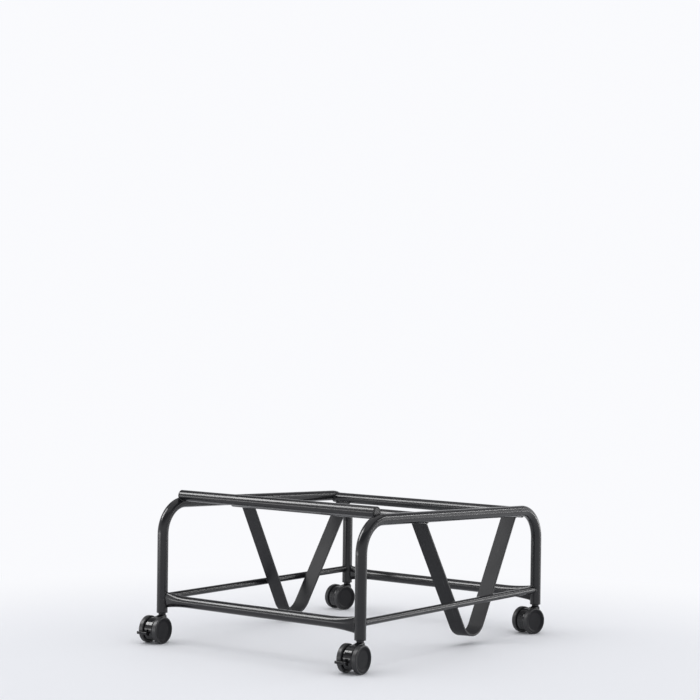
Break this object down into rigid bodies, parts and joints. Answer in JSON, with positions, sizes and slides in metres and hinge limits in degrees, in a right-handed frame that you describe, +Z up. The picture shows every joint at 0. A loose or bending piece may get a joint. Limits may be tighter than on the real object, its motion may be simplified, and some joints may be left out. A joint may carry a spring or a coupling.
{
  "type": "stacking dolly",
  "caption": "Low black tube-frame dolly on twin-wheel swivel casters, with V-shaped strap cradles and a front rest bar that carry a leaning stack.",
  "frame": {"origin": "on the floor, on the frame's middle plane, midway along the dolly's whole length", "axes": "+X to the dolly's right, +Y from the rest bar to the rear, +Z up"},
  "size_m": [0.6398, 0.7744, 0.3476],
  "materials": {
    "frame_paint": "semi-gloss black powder coat",
    "cradle_paint": "satin black powder coat",
    "plug_plastic": "matt black",
    "steel": "dark zinc",
    "caster_plastic": "black nylon with a slight shine",
    "wheel_plastic": "matt black nylon",
    "tread": "black, smooth"
  },
  "bodies": {
    "frame": {"left_side_frame": "frame_paint", "right_side_frame": "frame_paint", "front_rest_bar": "frame_paint", "front_crossbar": "frame_paint", "rear_crossbar": "frame_paint", "front_lower_rail": "frame_paint", "rear_lower_rail": "frame_paint", "left_side_rail": "frame_paint", "right_side_rail": "frame_paint", "left_rest_bar_plug": "plug_plastic", "left_cradle": "cradle_paint", "right_rest_bar_plug": "plug_plastic", "right_cradle": "cradle_paint", "front_left_stem_socket": "plug_plastic", "front_left_stem": "steel", "front_left_grip_ring": "steel", "front_right_stem_socket": "plug_plastic", "front_right_stem": "steel", "front_right_grip_ring": "steel", "rear_left_stem_socket": "plug_plastic", "rear_left_stem": "steel", "rear_left_grip_ring": "steel", "rear_right_stem_socket": "plug_plastic", "rear_right_stem": "steel", "rear_right_grip_ring": "steel"},
    "front_left_caster": {"front_left_caster_housing": "caster_plastic", "front_left_axle": "steel", "front_left_brake_pin": "steel"},
    "front_left_left_wheel": {"front_left_left_wheel": "wheel_plastic", "front_left_left_tyre": "tread"},
    "front_left_right_wheel": {"front_left_right_wheel": "wheel_plastic", "front_left_right_tyre": "tread"},
    "front_left_brake": {"front_left_brake_pedal": "caster_plastic"},
    "front_right_caster": {"front_right_caster_housing": "caster_plastic", "front_right_axle": "steel", "front_right_brake_pin": "steel"},
    "front_right_left_wheel": {"front_right_left_wheel": "wheel_plastic", "front_right_left_tyre": "tread"},
    "front_right_right_wheel": {"front_right_right_wheel": "wheel_plastic", "front_right_right_tyre": "tread"},
    "front_right_brake": {"front_right_brake_pedal": "caster_plastic"},
    "rear_left_caster": {"rear_left_caster_housing": "caster_plastic", "rear_left_axle": "steel"},
    "rear_left_left_wheel": {"rear_left_left_wheel": "wheel_plastic", "rear_left_left_tyre": "tread"},
    "rear_left_right_wheel": {"rear_left_right_wheel": "wheel_plastic", "rear_left_right_tyre": "tread"},
    "rear_right_caster": {"rear_right_caster_housing": "caster_plastic", "rear_right_axle": "steel"},
    "rear_right_left_wheel": {"rear_right_left_wheel": "wheel_plastic", "rear_right_left_tyre": "tread"},
    "rear_right_right_wheel": {"rear_right_right_wheel": "wheel_plastic", "rear_right_right_tyre": "tread"}
  },
  "joints": [
    {"name": "front_left_swivel", "type": "hinge", "parent": "frame", "child": "front_left_caster", "pos_m": [-0.2875, -0.32546, 0.0632], "axis": [0, 0, 1], "continuous": true},
    {"name": "front_left_left_wheel_spin", "type": "hinge", "parent": "front_left_caster", "child": "front_left_left_wheel", "pos_m": [-0.28586, -0.3489, 0.031], "axis": [0.9976, 0.0698, 0], "continuous": true},
    {"name": "front_left_right_wheel_spin", "type": "hinge", "parent": "front_left_caster", "child": "front_left_right_wheel", "pos_m": [-0.28586, -0.3489, 0.031], "axis": [0.9976, 0.0698, 0], "continuous": true},
    {"name": "front_left_brake_pedal", "type": "hinge", "parent": "front_left_caster", "child": "front_left_brake", "pos_m": [-0.28434, -0.37063, 0.02794], "axis": [0.9976, 0.0698, 0], "range_deg": [0, 24]},
    {"name": "front_right_swivel", "type": "hinge", "parent": "frame", "child": "front_right_caster", "pos_m": [0.2875, -0.32546, 0.0632], "axis": [0, 0, 1], "continuous": true},
    {"name": "front_right_left_wheel_spin", "type": "hinge", "parent": "front_right_caster", "child": "front_right_left_wheel", "pos_m": [0.28914, -0.3489, 0.031], "axis": [0.9976, 0.0698, 0], "continuous": true},
    {"name": "front_right_right_wheel_spin", "type": "hinge", "parent": "front_right_caster", "child": "front_right_right_wheel", "pos_m": [0.28914, -0.3489, 0.031], "axis": [0.9976, 0.0698, 0], "continuous": true},
    {"name": "front_right_brake_pedal", "type": "hinge", "parent": "front_right_caster", "child": "front_right_brake", "pos_m": [0.29066, -0.37063, 0.02794], "axis": [0.9976, 0.0698, 0], "range_deg": [0, 24]},
    {"name": "rear_left_swivel", "type": "hinge", "parent": "frame", "child": "rear_left_caster", "pos_m": [-0.2875, 0.37454, 0.0632], "axis": [0, 0, 1], "continuous": true},
    {"name": "rear_left_left_wheel_spin", "type": "hinge", "parent": "rear_left_caster", "child": "rear_left_left_wheel", "pos_m": [-0.29279, 0.35164, 0.031], "axis": [0.9744, -0.225, 0], "continuous": true},
    {"name": "rear_left_right_wheel_spin", "type": "hinge", "parent": "rear_left_caster", "child": "rear_left_right_wheel", "pos_m": [-0.29279, 0.35164, 0.031], "axis": [0.9744, -0.225, 0], "continuous": true},
    {"name": "rear_right_swivel", "type": "hinge", "parent": "frame", "child": "rear_right_caster", "pos_m": [0.2875, 0.37454, 0.0632], "axis": [0, 0, 1], "continuous": true},
    {"name": "rear_right_left_wheel_spin", "type": "hinge", "parent": "rear_right_caster", "child": "rear_right_left_wheel", "pos_m": [0.28221, 0.35164, 0.031], "axis": [0.9744, -0.225, 0], "continuous": true},
    {"name": "rear_right_right_wheel_spin", "type": "hinge", "parent": "rear_right_caster", "child": "rear_right_right_wheel", "pos_m": [0.28221, 0.35164, 0.031], "axis": [0.9744, -0.225, 0], "continuous": true}
  ]
}
